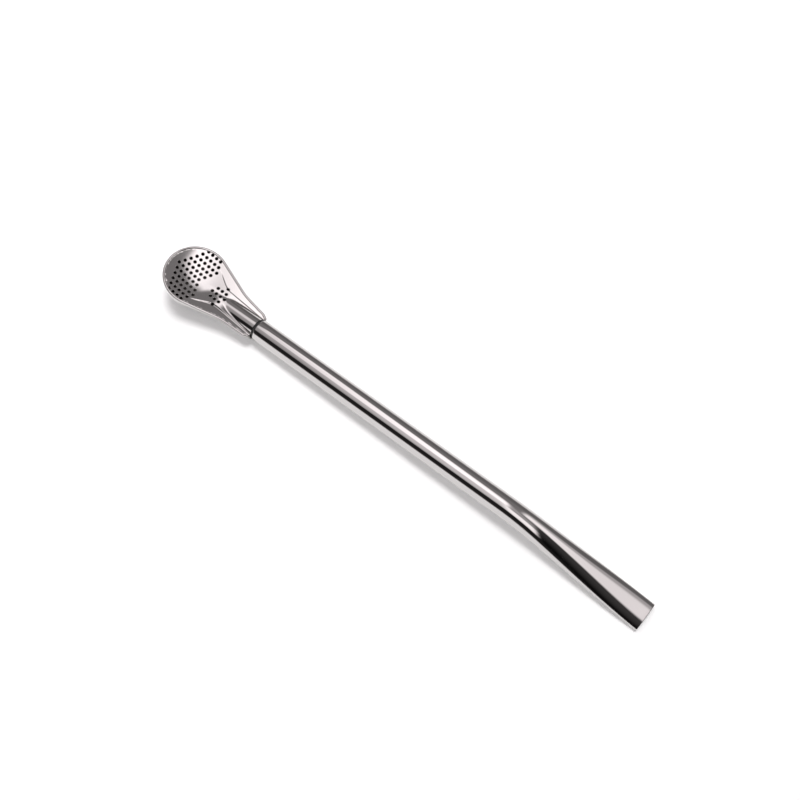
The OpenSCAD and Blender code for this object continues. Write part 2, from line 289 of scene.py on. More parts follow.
def straw_point(s, inset, y, z):
    turn = MOUTH_BEND * clamp(s / BEND_LEN)
    past = max(0.0, s - BEND_LEN)
    before = min(0.0, s)
    centre_x = TUBE_LEN + before + SOFT_BEND_R * math.sin(turn) + past * math.cos(turn)
    centre_z = -SOFT_BEND_R * (1 - math.cos(turn)) - past * math.sin(turn)
    flat = ease((s - FLAT_FROM) / (MOUTH_LEN - FLAT_FROM))
    half_w = TUBE_R + (MOUTH_W / 2 - TUBE_R) * flat - inset
    half_t = TUBE_R + (MOUTH_T / 2 - TUBE_R) * flat - inset
    power = 2 / (2 + (MOUTH_SQUARE - 2) * flat)
    across = half_w * squash(y, power)
    up = half_t * squash(z, power)
    return Vector((centre_x + up * math.sin(turn), across, centre_z + up * math.cos(turn)))


# %% Stops of the straw, each a place along it and an inset from its outside
TUBE_STOPS = 24
MOUTH_STOPS = 60
MOUTH_START = 0.6
LIP_STOPS = 8
LIP_START = 0.2
EDGE_STOPS = 6
EDGE_END = 0.15


def steps(start, stop, count):
    return [start + (stop - start) * k / count for k in range(count + 1)]


half_wall = WALL / 2
lip_from = MOUTH_LEN - half_wall
outside = [(s, 0.0) for s in steps(-TUBE_LEN + TUBE_EDGE, 0, TUBE_STOPS)]
outside += [(s, 0.0) for s in steps(MOUTH_START, lip_from, MOUTH_STOPS)]
lip = [(lip_from + half_wall * math.sin(a), half_wall - half_wall * math.cos(a))
       for a in steps(LIP_START, math.pi - LIP_START, LIP_STOPS)]
bore = [(s, WALL) for s in steps(lip_from, MOUTH_START, MOUTH_STOPS)]
bore += [(s, WALL) for s in steps(0, -TUBE_LEN, TUBE_STOPS)]
joint_edge = [(-TUBE_LEN + TUBE_EDGE * (1 - math.sin(a)), TUBE_EDGE * (1 - math.cos(a)))
              for a in steps(math.pi / 2, EDGE_END, EDGE_STOPS)]
stops = outside + lip + bore + joint_edge
print(len(stops), "stops round the wall")


# %% Sweep the circle, close the wall and move the rings
STRAW_SIDES = 112


def swept(sides, count):
    bm = bmesh.new()
    turn = Matrix.Rotation(math.pi / 2, 4, "Y") @ Matrix.Rotation(math.pi / sides, 4, "Z")
    bmesh.ops.create_circle(bm, segments=sides, radius=1, matrix=turn)
    bmesh.ops.spin(bm, geom=bm.edges[:], axis=(1, 0, 0), cent=(0, 0, 0), dvec=(1, 0, 0),
                   angle=0, steps=count - 1)
    return bm


def ring_edges(bm, number):
    return [e for e in bm.edges if all(round(v.co.x) == number for v in e.verts)]


bm = swept(STRAW_SIDES, len(stops))
bmesh.ops.bridge_loops(bm, edges=ring_edges(bm, 0) + ring_edges(bm, len(stops) - 1))
first_inside = len(outside) + len(lip) - 1
last_inside = len(outside) + len(lip) + len(bore) - 1
for face in bm.faces:
    numbers = [round(v.co.x) for v in face.verts]
    inside = min(numbers) >= first_inside and max(numbers) <= last_inside
    face.material_index = 1 if inside else 0
for vert in bm.verts:
    s, inset = stops[round(vert.co.x)]
    vert.co = straw_point(s, inset, vert.co.y, vert.co.z)
lay_down(bm, "mate_straw", along_tube, "straw", "straw_tube",
         [mirror_steel, bore_steel])

# %% [markdown]
# ## The outline of the strainer
# Seen from above, the strainer is a teardrop: a round bowl, a straight taper, a waist and a neck
# that ends in two shoulders. Face, rim and back all follow this one line, each at its own distance
# from it. Drawn three times, it would never quite meet itself, so it is written once. It runs from
# the tip to the neck on one side and gives, for each point, the direction that points outwards.

# %% Sizes of the strainer and its outline
BOWL_R = 10.8
BOWL_REACH = 27.7
RIM_INSET = 0.3
RIM_R = 0.5
ROLL_R = 0.487
SHEET = 0.45
TAPER = math.radians(17.5)
NECK_TAPER = math.radians(6)
SHOULDER = math.radians(26)
SHOULDER_REACH = 3.2
SHOULDER_R = 2.0
SHOULDER_FLARE = 1.68
NECK_R = 3.35
NECK_X = -0.85
NECK_END = 0.8
WAIST_R = 20.0
PATH_R = BOWL_R - RIM_INSET
NECK_HALF = NECK_R + SHOULDER_FLARE


def taper_y(x):
    return (PATH_R - math.sin(TAPER) * (x + BOWL_REACH)) / math.cos(TAPER)


def neck_y(x):
    return NECK_HALF - (x + SHOULDER_REACH) * math.tan(NECK_TAPER)


waist_x = (taper_y(0) - neck_y(0)) / (math.tan(TAPER) - math.tan(NECK_TAPER))
waist = Vector((waist_x, taper_y(waist_x)))
shoulder_at = Vector((-SHOULDER_REACH, neck_y(-SHOULDER_REACH) - SHOULDER_R / math.cos(NECK_TAPER)))
print("waist at", round(waist.x, 2), round(waist.y, 2))

# %% The line itself
RIM_SPACING = 0.5
ARC_STEPS = 8


def outward(angle):
    return Vector((math.sin(angle), math.cos(angle)))


def arc(centre, radius, angles):
    return [(centre + radius * outward(a), outward(a)) for a in angles]


def straight(start, stop, angle, spacing):
    count = round((stop - start).length / spacing)
    return [(start.lerp(stop, t), outward(angle)) for t in steps(1 / count, 1, count - 1)]


def outline(off, spacing):
    count = round(PATH_R * (math.pi / 2 + TAPER) / spacing)
    line = arc(Vector((-BOWL_REACH, 0)), PATH_R + off, steps(-math.pi / 2, TAPER, count))
    along = Vector((math.cos(TAPER), -math.sin(TAPER)))
    waist_in = waist - WAIST_R * math.tan((TAPER - NECK_TAPER) / 2) * along
    waist_mid = waist_in + WAIST_R * outward(TAPER)
    to_waist = waist_mid - (WAIST_R - off) * outward(TAPER)
    line += straight(line[-1][0], to_waist, TAPER, spacing)
    line += arc(waist_mid, off - WAIST_R, steps(TAPER, NECK_TAPER, ARC_STEPS)[1:])
    to_shoulder = shoulder_at + (SHOULDER_R + off) * outward(NECK_TAPER)
    line += straight(line[-1][0], to_shoulder, NECK_TAPER, spacing)
    line += arc(shoulder_at, SHOULDER_R + off, steps(NECK_TAPER, SHOULDER, ARC_STEPS)[1:])
    last = line[-1][0]
    count = max(2, round((NECK_END - last.x) / spacing))
    for x in steps(last.x, NECK_END, count)[1:]:
        line.append((Vector((x, last.y - (x - last.x) * math.tan(SHOULDER))), outward(SHOULDER)))
    return line


print(len(outline(0, RIM_SPACING)), "points on half of the rim")

# %% [markdown]
# ## The back of the strainer
# The back is pressed from sheet as half a pear. It could be lofted ring by ring, as the straw is.
# But the pear is a shape of revolution, so its outline, spun half way round, makes the outer skin
# in one step, and a solidify gives it the thickness of the sheet. The edge of the back is rolled
# over the front sheet. That roll is a round bar along the outline, swept in the same way as the
# straw. Last, a plane square to the tube cuts the neck off where the rubber ring begins.

# %% Spin half a pear and give it its thickness
PEAR_STEPS = 96
MERGE = 1e-4
CUT = 1e-5
FACES_INWARD = -0.3


def cut_neck(bm):
    to_head = along_head.inverted() @ along_tube
    at = to_head @ Vector((NECK_X, 0, 0))
    normal = to_head.to_3x3() @ Vector((1, 0, 0))
    geom = bm.verts[:] + bm.edges[:] + bm.faces[:]
    cut = bmesh.ops.bisect_plane(bm, geom=geom, dist=CUT, plane_co=at, plane_no=normal, clear_outer=True)
    edges = [e for e in cut["geom_cut"] if isinstance(e, bmesh.types.BMEdge)]
    bmesh.ops.holes_fill(bm, edges=edges, sides=0)


def half_pear():
    bm = bmesh.new()
    profile = [bm.verts.new((p.x, p.y, -RIM_RISE)) for p, out in outline(RIM_INSET, RIM_SPACING)]
    profile[0].co.y = 0
    for one, other in zip(profile, profile[1:]):
        bm.edges.new((one, other))
    bmesh.ops.spin(bm, geom=bm.verts[:] + bm.edges[:], axis=(1, 0, 0), cent=(0, 0, -RIM_RISE),
                   angle=-math.pi, steps=PEAR_STEPS)
    bmesh.ops.remove_doubles(bm, verts=bm.verts, dist=MERGE)
    bmesh.ops.recalc_face_normals(bm, faces=bm.faces)
    return bm


bm = half_pear()
lowest = min(bm.faces, key=lambda face: face.calc_center_median().z)
if lowest.normal.z > 0:
    bmesh.ops.reverse_faces(bm, faces=bm.faces)
bmesh.ops.solidify(bm, geom=bm.faces[:], thickness=SHEET)
bmesh.ops.recalc_face_normals(bm, faces=bm.faces)
# Faces that look inward take the raw sheet, whose dark colour is painted shade inside the strainer.
for face in bm.faces:
    middle = face.calc_center_median()
    axis_point = Vector((max(middle.x, -BOWL_REACH), 0, -RIM_RISE))
    if face.normal.dot((middle - axis_point).normalized()) < FACES_INWARD:
        face.material_index = 1
print("the bowl is", round(-min(v.co.z for v in bm.verts), 3), "mm deep below the rim's plane")

# %% Roll the rim and join it to the shell
RIM_SIDES = 20

half = outline(0, RIM_SPACING)
other_half = [(Vector((p.x, -p.y)), Vector((out.x, -out.y))) for p, out in reversed(half[1:])]
rim_stops = other_half + half
rim = swept(RIM_SIDES, len(rim_stops))
for vert in rim.verts:
    at, out = rim_stops[round(vert.co.x)]
    side = at + ROLL_R * vert.co.y * out
    vert.co = Vector((side.x, side.y, ROLL_R * vert.co.z))
rim_mesh = bpy.data.meshes.new("rolled_rim")
rim.to_mesh(rim_mesh)
rim.free()
bm.from_mesh(rim_mesh)
bpy.data.meshes.remove(rim_mesh)
cut_neck(bm)
lay_down(bm, "strainer_back", along_head, "filter_head", "filter_back",
         [mirror_steel, raw_steel_with_painted_shade])

# %% [markdown]
# ## The height of the strainer's face
# The face is the piece that takes most skill: a shallow dish, with a half-round neck that covers
# the screw and dies out into a flat fan. It could be pulled into shape from a few subdivided faces,
# but a mirror shows every dent in that. All of it can be written as one height above the plane of
# the rim, so a function of x and y gives it, and the slope of the same function gives exact normals
# for a mirror finish.

# %% Height of the face
DISH_DEPTH = 1.2
DISH_FROM = 10.0
DISH_TO = 24.0
PANEL_SLOPE = 0.1
NECK_FOOT_TO = 11.0
FAN_HEIGHT = 0.25
FAN_W_NECK = 3.7
FAN_W_BOWL = 7.9
FAN_FROM = 15.5
FAN_TO = 26.0
SOFT_MIDDLE = 1.0
SOFT_WAIST = 0.6
SOFT_FOOT = 0.3


def soft_max(a, b, width):
    near = max(width - abs(a - b), 0.0) / width
    return max(a, b) + near * near * width / 4


def edge_distance(x, y):
    side = math.hypot(y, SOFT_MIDDLE) - SOFT_MIDDLE * SOFT_MIDDLE / (2 * PATH_R)
    angle = math.atan2(abs(y), -(x + BOWL_REACH))
    if angle <= math.pi / 2 + TAPER:
        wall = PATH_R - math.hypot(x + BOWL_REACH, y)
    else:
        to_taper = (taper_y(x) - side) * math.cos(TAPER)
        to_neck = (neck_y(x) - side) * math.cos(NECK_TAPER)
        wall = soft_max(to_taper, to_neck, SOFT_WAIST)
    end = SHOULDER_R - math.sin(SHOULDER) * (x + SHOULDER_REACH)
    return min(wall, end - math.cos(SHOULDER) * (side - shoulder_at.y))


def fan_half(x):
    return FAN_W_NECK + (FAN_W_BOWL - FAN_W_NECK) * ease((-x - FAN_FROM) / (FAN_TO - FAN_FROM))


def face_height(x, y):
    depth = max(0.0, edge_distance(x, y) - RIM_R) / (PATH_R - RIM_R)
    dip = ease((-x - DISH_FROM) / (DISH_TO - DISH_FROM))
    across = ease((fan_half(x) - abs(y)) / SHEET)
    along = ease((FAN_TO + x) / (FAN_TO - FAN_FROM))
    dish = -DISH_DEPTH * dip * (1 - (1 - depth) ** 2) + FAN_HEIGHT * across * along
    on_fan = across * ease((-x - NECK_FOOT_TO) / (FAN_FROM - NECK_FOOT_TO))
    dish -= PANEL_SLOPE * (1 - dip) * (1 - on_fan) * depth * (PATH_R - RIM_R)
    round_neck = math.sqrt(max(0.0, NECK_R * NECK_R - y * y)) / math.cos(HEAD_PITCH)
    ridge = -RIM_RISE + x * math.tan(HEAD_PITCH) + round_neck
    return soft_max(dish, ridge, SOFT_FOOT)


print("middle of the bowl at", round(face_height(-BOWL_REACH, 0), 2), "mm")

# %% [markdown]
# ## The holes
# Sixty holes in the bowl and twelve below the fan keep the leaves out. They stand in straight rows,
# and each row is moved by half a step against the last, as a punching tool does it. An array could
# repeat one row, but the rows differ in length, so a short table gives each row's number, its first
# step and its count of holes. Polishing rounds the edge of each hole, which shows as a thin bright
# ring, so the height drops a little there.

# %% Centres of the holes, and the face with rounded hole edges
HOLE_R = 0.55
HOLE_STEP = 1.75
ROW_STEP = 1.88
TIP_MARGIN = 3.4
SMALL_REACH = 20.6
HOLE_EDGE = 0.08
EDGE_TURN = 0.95
MAIN_ROWS = ((0, 0, 6), (1, 0.5, 6), (2, 1, 6), (3, 1.5, 6), (4, 2, 5), (5, 2.5, 4))
SMALL_ROWS = ((0, 0, 4), (1, 0.5, 3), (2, 2, 1))


def hole_centres(rows, x0):
    centres = []
    for row, first, count in rows:
        for side in ((1,) if row == 0 else (-1, 1)):
            for k in range(count):
                centres.append(Vector((x0 + (first + k) * HOLE_STEP, side * row * ROW_STEP)))
    return centres


holes = hole_centres(MAIN_ROWS, -BOWL_REACH - PATH_R - RIM_R + TIP_MARGIN)
holes += hole_centres(SMALL_ROWS, -SMALL_REACH)
print(len(holes), "holes")


def nearest_hole(x, y):
    return min(math.hypot(x - c.x, y - c.y) for c in holes)


def top_skin(x, y):
    t = clamp((HOLE_R + HOLE_EDGE - nearest_hole(x, y)) / HOLE_EDGE) * EDGE_TURN
    return face_height(x, y) + SHEET / 2 - HOLE_EDGE * (1 - math.sqrt(1 - t * t))


# %% [markdown]
# ## A sheet with real holes
# A grid cut by seventy cylinders would leave slivers that show in a mirror. Here the points are
# chosen first: rings round every hole, rows along the neck and the fan, and an even grid in
# between. A Delaunay triangulation then joins them and keeps the edges of the holes and of the
# sheet. The faces inside the holes are taken out, and the sheet is extruded to its thickness.

# %% Edge of the sheet and rings round the holes
GRID = 0.42
BORDER_OFF = -0.1
HOLE_SIDES = 24
RINGS_OUT = (0.3, 1, 2.2)
points = []
kept_edges = []


def add_loop(ring):
    start = len(points)
    points.extend(ring)
    kept_edges.extend((start + k, start + (k + 1) % len(ring)) for k in range(len(ring)))


border = [p for p, out in outline(BORDER_OFF, GRID)]
add_loop(border + [Vector((p.x, -p.y)) for p in reversed(border[1:])])
unit_ring = [Vector((math.cos(a), math.sin(a))) for a in steps(0, 2 * math.pi, HOLE_SIDES)[:-1]]
for centre in holes:
    add_loop([centre + HOLE_R * p for p in unit_ring])
    for rings_out in RINGS_OUT:
        points.extend(centre + (HOLE_R + rings_out * HOLE_EDGE) * p for p in unit_ring)
print(len(points), "points on edges")

# %% Rows along the neck and the fan
NECK_ARC = math.radians(80)
NECK_ARC_ROWS = 14
FOOT_ROWS = [3.325, 3.35, 3.38, 3.42, 3.48, 3.56, 3.66, 3.78]
FAN_ROWS = (-0.35, 0, 0.2, 0.4, 0.6, 0.8, 1, 1.35)
NECK_ROWS_TO = -20.0
FAN_ROWS_FROM = 1 - FAN_FROM
ROWS_END = 0.6
ROW_PLACES = 104
ROW_MARGIN = 0.25
HOLE_MARGIN = 2.9
NECK_MARGIN = 0.2

neck_rows = [NECK_R * math.sin(a) for a in steps(0, NECK_ARC, NECK_ARC_ROWS)] + FOOT_ROWS


def is_free(x, y, margin):
    return edge_distance(x, y) > margin and nearest_hole(x, y) > HOLE_R + HOLE_MARGIN * HOLE_EDGE


def on_neck(x, y):
    return x > NECK_ROWS_TO - GRID and abs(y) < neck_rows[-1] + NECK_MARGIN


for x in steps(-BOWL_REACH - PATH_R, ROWS_END, ROW_PLACES):
    for side in (-1, 1):
        if x > NECK_ROWS_TO:
            rows = [side * y for y in neck_rows if y > 0 or side > 0]
            points.extend(Vector((x, y)) for y in rows if is_free(x, y, ROW_MARGIN))
        if -FAN_TO < x < FAN_ROWS_FROM:
            rows = [side * (fan_half(x) - SHEET * t) for t in FAN_ROWS]
            points.extend(Vector((x, y)) for y in rows
                          if is_free(x, y, ROW_MARGIN) and not on_neck(x, y))
print(len(points), "points with the rows")

# %% Even grid in between
GRID_ROWS = 32
GRID_COLUMNS = 96
GRID_MARGIN = 0.3
FAN_MARGIN = 0.4
TRIANGLE_HEIGHT = math.sqrt(0.75)


def on_fan_edge(x, y):
    inside = fan_half(x) - abs(y)
    return -FAN_MARGIN < inside < SHEET + FAN_MARGIN and x < FAN_ROWS_FROM


for row in range(-GRID_ROWS, GRID_ROWS + 1):
    y = row * GRID * TRIANGLE_HEIGHT
    for k in range(GRID_COLUMNS):
        x = -BOWL_REACH - PATH_R + (k + row % 2 / 2) * GRID
        if is_free(x, y, GRID_MARGIN) and not on_neck(x, y) and not on_fan_edge(x, y):
            points.append(Vector((x, y)))
print(len(points), "points on the sheet")

# %% Triangulate, open the holes and extrude the sheet
SAME_POINT = 1e-5
INNER_R = HOLE_R * math.cos(math.pi / HOLE_SIDES) - MERGE

spots, _, triangles, *_ = geometry.delaunay_2d_cdt(points, kept_edges, [], 1, SAME_POINT)
bm = bmesh.new()
verts = [bm.verts.new((p.x, p.y, 0)) for p in spots]
for corners in triangles:
    bm.faces.new([verts[k] for k in corners])
in_holes = []
for face in bm.faces:
    middle = face.calc_center_median()
    if nearest_hole(middle.x, middle.y) < INNER_R:
        in_holes.append(face)
bmesh.ops.delete(bm, geom=in_holes, context="FACES")
loose = [v for v in bm.verts if not v.link_faces]
bmesh.ops.delete(bm, geom=loose, context="VERTS")
bmesh.ops.recalc_face_normals(bm, faces=bm.faces)
if sum(face.normal.z for face in bm.faces) < 0:
    bmesh.ops.reverse_faces(bm, faces=bm.faces)
upper = bm.faces[:]
lower = bmesh.ops.extrude_face_region(bm, geom=upper, use_keep_orig=True)["geom"]
low_verts = {v for v in lower if isinstance(v, bmesh.types.BMVert)}
for vert in bm.verts:
    if vert in low_verts:
        vert.co.z = face_height(vert.co.x, vert.co.y) - SHEET / 2
    else:
        vert.co.z = top_skin(vert.co.x, vert.co.y)
print(len(upper), "faces on the upper skin")

# %% [markdown]
# Blender would shade the sheet from its triangles. The height function knows the slope better, so
# the normals of the upper skin are set from it, corner by corner. Walls and edges keep the
# direction of their faces, and they and the underside get the raw finish, painted dark as shade.

# %% Cut the neck and set exact normals
SLOPE_STEP = 1e-3
FACES_UP = 0.02
NEAR_SKIN = 0.12


def sheet_normal(x, y):
    d = SLOPE_STEP
    slope_x = (top_skin(x + d, y) - top_skin(x - d, y)) / (2 * d)
    slope_y = (top_skin(x, y + d) - top_skin(x, y - d)) / (2 * d)
    return Vector((-slope_x, -slope_y, 1)).normalized()


bmesh.ops.recalc_face_normals(bm, faces=bm.faces)
cut_neck(bm)
normal_at = {}
corner_normals = []
turn_head = along_head.to_3x3().normalized()
for face in bm.faces:
    middle = face.calc_center_median()
    is_top = face.normal.z > FACES_UP and abs(middle.z - top_skin(middle.x, middle.y)) < NEAR_SKIN
    face.material_index = 0 if is_top else 1
    for vert in face.verts:
        if is_top:
            spot = (round(vert.co.x, 5), round(vert.co.y, 5))
            if spot not in normal_at:
                normal_at[spot] = sheet_normal(vert.co.x, vert.co.y)
            corner_normals.append(turn_head @ normal_at[spot])
        else:
            corner_normals.append(turn_head @ face.normal)
face_sheet = lay_down(bm, "strainer_face", along_head, "filter_head", "filter_face",
                      [mirror_steel, raw_steel_with_painted_shade], recalculate=False)
face_sheet.data.normals_split_custom_set(corner_normals)
print(len(normal_at), "exact normals")

# %% [markdown]
# ## Screw, socket and ring
# The strainer comes off for cleaning: a spigot with an outside thread is brazed in its neck, and a
# bush with the inside thread is brazed in the tube. A bump could hint at a thread, but this one is
# seen when the strainer is unscrewed. A thread is a small ridge that climbs as it turns, and spin
# makes just that when each of its steps also moves along the axis. The plain bodies are lathe work,
# so their section is spun a full turn and merged.

# %% Helpers for lathe work and threads
LATHE_STEPS = 72
PITCH = 0.8
RIDGE_SLOPE = 0.42 * PITCH
CREST_HALF = 0.06
RIDGE_SUNK = 0.05


def turned(bm, section):
    ring = [bm.verts.new((x, 0, r)) for r, x in section]
    edges = [bm.edges.new((ring[k - 1], ring[k])) for k in range(len(ring))]
    bmesh.ops.spin(bm, geom=ring + edges, axis=(1, 0, 0), cent=(0, 0, 0), angle=2 * math.pi,
                   steps=LATHE_STEPS, use_merge=True)


def threaded(bm, root, crest, start, turns):
    top = start + RIDGE_SLOPE
    shape = ((root, start), (crest, top - CREST_HALF), (crest, top + CREST_HALF),
             (root, start + 2 * RIDGE_SLOPE))
    face = bm.faces.new([bm.verts.new((x, 0, r)) for r, x in shape])
    bmesh.ops.spin(bm, geom=[face], axis=(1, 0, 0), cent=(0, 0, 0), dvec=(PITCH / LATHE_STEPS, 0, 0),
                   angle=2 * math.pi * turns, steps=round(turns * LATHE_STEPS))


# %% The spigot with its outside thread
THREAD_LEN = 4.8
BORE = 1.7
BARREL_R = 2.8
BARREL_END = NECK_X - 5.0
ROOT_R = 2.12
CREST_R = 2.5
CHAMFER = 0.3
TIP_CHAMFER = 0.2
SPIGOT_THREAD_FROM = -0.45
SPIGOT_TURNS = 5.6

bm = bmesh.new()
turned(bm, ((BORE, BARREL_END), (BARREL_R - CHAMFER, BARREL_END), (BARREL_R, BARREL_END + CHAMFER),
            (BARREL_R, NECK_X), (ROOT_R, NECK_X), (ROOT_R, THREAD_LEN - CHAMFER),
            (ROOT_R - TIP_CHAMFER, THREAD_LEN), (BORE, THREAD_LEN)))
threaded(bm, ROOT_R - RIDGE_SUNK, CREST_R, SPIGOT_THREAD_FROM, SPIGOT_TURNS)
lay_down(bm, "screw_spigot", along_tube, "filter_head", "neck_spigot", [lathe_steel])

# %% The socket with its inside thread
SOCKET_R = 2.6
SOCKET_ROOT = 2.92
SOCKET_OUT = 3.15
SOCKET_LEN = THREAD_LEN + WALL
SOCKET_THREAD_FROM = 0.1
SOCKET_TURNS = 5.4

bm = bmesh.new()
turned(bm, ((SOCKET_ROOT, 0.0), (SOCKET_OUT, 0.0), (SOCKET_OUT, SOCKET_LEN), (SOCKET_ROOT, SOCKET_LEN)))
threaded(bm, SOCKET_ROOT + RIDGE_SUNK, SOCKET_R, SOCKET_THREAD_FROM, SOCKET_TURNS)
lay_down(bm, "screw_socket", along_tube, "straw", "tube_socket", [lathe_steel])

# %% The squeezed rubber ring
SEAL_R = 3.45
BULGE_STEPS = 12
bulge = -NECK_X / 2

seal_section = [(SOCKET_R, NECK_X), (SOCKET_R, 0.0)]
seal_section += [(SEAL_R - bulge + bulge * math.sin(a), -bulge + bulge * math.cos(a))
                 for a in steps(0, math.pi, BULGE_STEPS)]
bm = bmesh.new()
turned(bm, seal_section)
lay_down(bm, "rubber_ring", along_tube, "seal", "neck_seal", [ring_rubber])


# %% [markdown]
# ## Floor
# The photograph has a white ground. More light would whiten the floor, but it would wash out the
# steel as well. So the floor is a pale diffuse sheet that takes the straw's soft shadow, with a
# little glow where the camera or a mirror looks at it. The glow rises with the distance from the
# straw, because the ceiling gives less light there, so the ground stays white as far as it goes.

# %% Helpers for nodes that do sums
def combine(tree, operation, one, other):
    node = tree.nodes.new("ShaderNodeMath")
    node.operation = operation
    for socket, value in zip(node.inputs, (one, other)):
        if isinstance(value, (int, float)):
            socket.default_value = value
        else:
            tree.links.new(value, socket)
    return node.outputs[0]


def product(tree, *values):
    result = values[0]
    for value in values[1:]:
        result = combine(tree, "MULTIPLY", result, value)
    return result


def seen_directly(tree):
    path = tree.nodes.new("ShaderNodeLightPath")
    seen = combine(tree, "MAXIMUM", path.outputs["Is Camera Ray"], path.outputs["Is Glossy Ray"])
    return combine(tree, "MAXIMUM", seen, path.outputs["Is Transmission Ray"])


# %% Helpers for pieces of the stage
def stage_piece(bm, name, material):
    mesh = bpy.data.meshes.new(name)
    bm.to_mesh(mesh)
    bm.free()
    mesh.materials.append(material)
    piece = bpy.data.objects.new(name, mesh)
    bpy.context.scene.collection.objects.link(piece)
    return piece


def stage_sheet(name, half, height, material):
    bm = bmesh.new()
    at = Matrix.Translation((0, 0, height))
    bmesh.ops.create_grid(bm, x_segments=1, y_segments=1, size=half, matrix=at)
    return stage_piece(bm, name, material)


def empty_material(name):
    material = bpy.data.materials.new(name)
    material.use_nodes = True
    tree = material.node_tree
    tree.nodes.clear()
    output = tree.nodes.new("ShaderNodeOutputMaterial")
    place = tree.nodes.new("ShaderNodeTexCoord")
    return material, tree, output.inputs["Surface"], place.outputs["Object"]


# %% White floor
FLOOR_TONE = (0.92, 0.92, 0.92, 1)
FLOOR_GLOW = 0.22
FAR_GLOW = 0.5
GLOW_FROM = 0.2
GLOW_TO = 0.8
FLOOR_HALF = 3.0


def white_floor_material():
    material, tree, surface, place = empty_material("white_floor")
    paper = tree.nodes.new("ShaderNodeBsdfDiffuse")
    paper.inputs["Color"].default_value = FLOOR_TONE
    away = tree.nodes.new("ShaderNodeVectorMath")
    away.operation = "LENGTH"
    tree.links.new(place, away.inputs[0])
    level = fade(tree, away.outputs["Value"], GLOW_FROM, GLOW_TO, FLOOR_GLOW, FAR_GLOW)
    glow = tree.nodes.new("ShaderNodeEmission")
    tree.links.new(product(tree, level, seen_directly(tree)), glow.inputs["Strength"])
    both = tree.nodes.new("ShaderNodeAddShader")
    tree.links.new(paper.outputs[0], both.inputs[0])
    tree.links.new(glow.outputs[0], both.inputs[1])
    tree.links.new(both.outputs[0], surface)
    return material


stage_sheet("floor", FLOOR_HALF, 0, white_floor_material())
print("floor at z = 0")

# %% [markdown]
# ## The room in the mirror
# Polished steel shows the room, and the bands on the straw tell what it was. Overhead hung a large
# soft light, brightest between the strainer and the middle of the tube. A second light stood behind
# the mouthpiece, a grey wall stood behind all of it, and something dark hung over the mouthpiece. A
# straw is long and the light was close, so each end of it sees the light from another side. A world
# far away can't do that, so the lights are painted on a ceiling at a real height. The walls are a
# wide dome that only the mirror and the soft light see, and the world behind it is white.

# %% Walls: tones around the straw, from the far side over the top to the camera's side
LIGHT_TINT = (1.0, 0.94, 0.96)
WALL_TONES = ((-92, 1.0), (-88, 0.32), (-70, 0.18), (-52, 0.18), (0, 0.2), (50, 0.02), (76, 0.02),
              (85, 0.1), (91, 1.0))
WALL_AWAY = 2.5
WALL_SIDES = 48
WALL_RINGS = 24
HALF_WAY = 0.5


def wall_material():
    material, tree, surface, place = empty_material("studio_walls")
    split = tree.nodes.new("ShaderNodeSeparateXYZ")
    tree.links.new(place, split.inputs["Vector"])
    to_camera = combine(tree, "MULTIPLY", split.outputs["Y"], -1.0)
    around = combine(tree, "ARCTAN2", to_camera, split.outputs["Z"])
    turn = combine(tree, "DIVIDE", around, 2 * math.pi)
    tones = tree.nodes.new("ShaderNodeValToRGB")
    tree.links.new(combine(tree, "ADD", turn, HALF_WAY), tones.inputs["Fac"])
    tones.color_ramp.interpolation = "EASE"
    elements = tones.color_ramp.elements
    elements.remove(elements[-1])
    for k, (angle, tone) in enumerate(WALL_TONES):
        at = HALF_WAY + angle / 360
        element = elements[0] if k == 0 else elements.new(at)
        element.position = at
        element.color = (*(tone * part for part in LIGHT_TINT), 1)
    glow = tree.nodes.new("ShaderNodeEmission")
    tree.links.new(tones.outputs["Color"], glow.inputs["Color"])
    tree.links.new(glow.outputs[0], surface)
    return material


bm = bmesh.new()
bmesh.ops.create_uvsphere(bm, u_segments=WALL_SIDES, v_segments=WALL_RINGS, radius=WALL_AWAY)
walls = stage_piece(bm, "walls", wall_material())
walls.visible_camera = False
walls.visible_shadow = False
print("the walls have", len(WALL_TONES), "tones around the straw")

# %% White world behind the walls
world = bpy.data.worlds.new("studio")
bpy.context.scene.world = world
world.use_nodes = True
backdrop = world.node_tree.nodes["Background"]
backdrop.inputs["Color"].default_value = (1, 1, 1, 1)
world.node_tree.links.new(seen_directly(world.node_tree), backdrop.inputs["Strength"])
print("world:", world.name)

# %% [markdown]
# The ceiling is one sheet that glows where a light is. Separate lamps would have hard edges in the
# mirror, and the straw shows soft ones. Each edge is one fade, from a first to a second place and
# from a first to a second strength, and a light is the product of its edges. Places are in
# millimetres on the sheet: x runs along the straw and y away from the camera. The camera and the
# shadows pass through the sheet, only the mirror and the soft light use it.

# %% The lights on the ceiling
MAIN_LIGHT = 1.65
SECOND_LIGHT = 1.25


def leaning(tree, one, other, share):
    return combine(tree, "ADD", one, combine(tree, "MULTIPLY", other, share))


def dark_over_mouthpiece(tree, x, y):
    return product(tree, fade(tree, x, 85, 130, 0, 1), fade(tree, y, 60, 110, 1, 0))


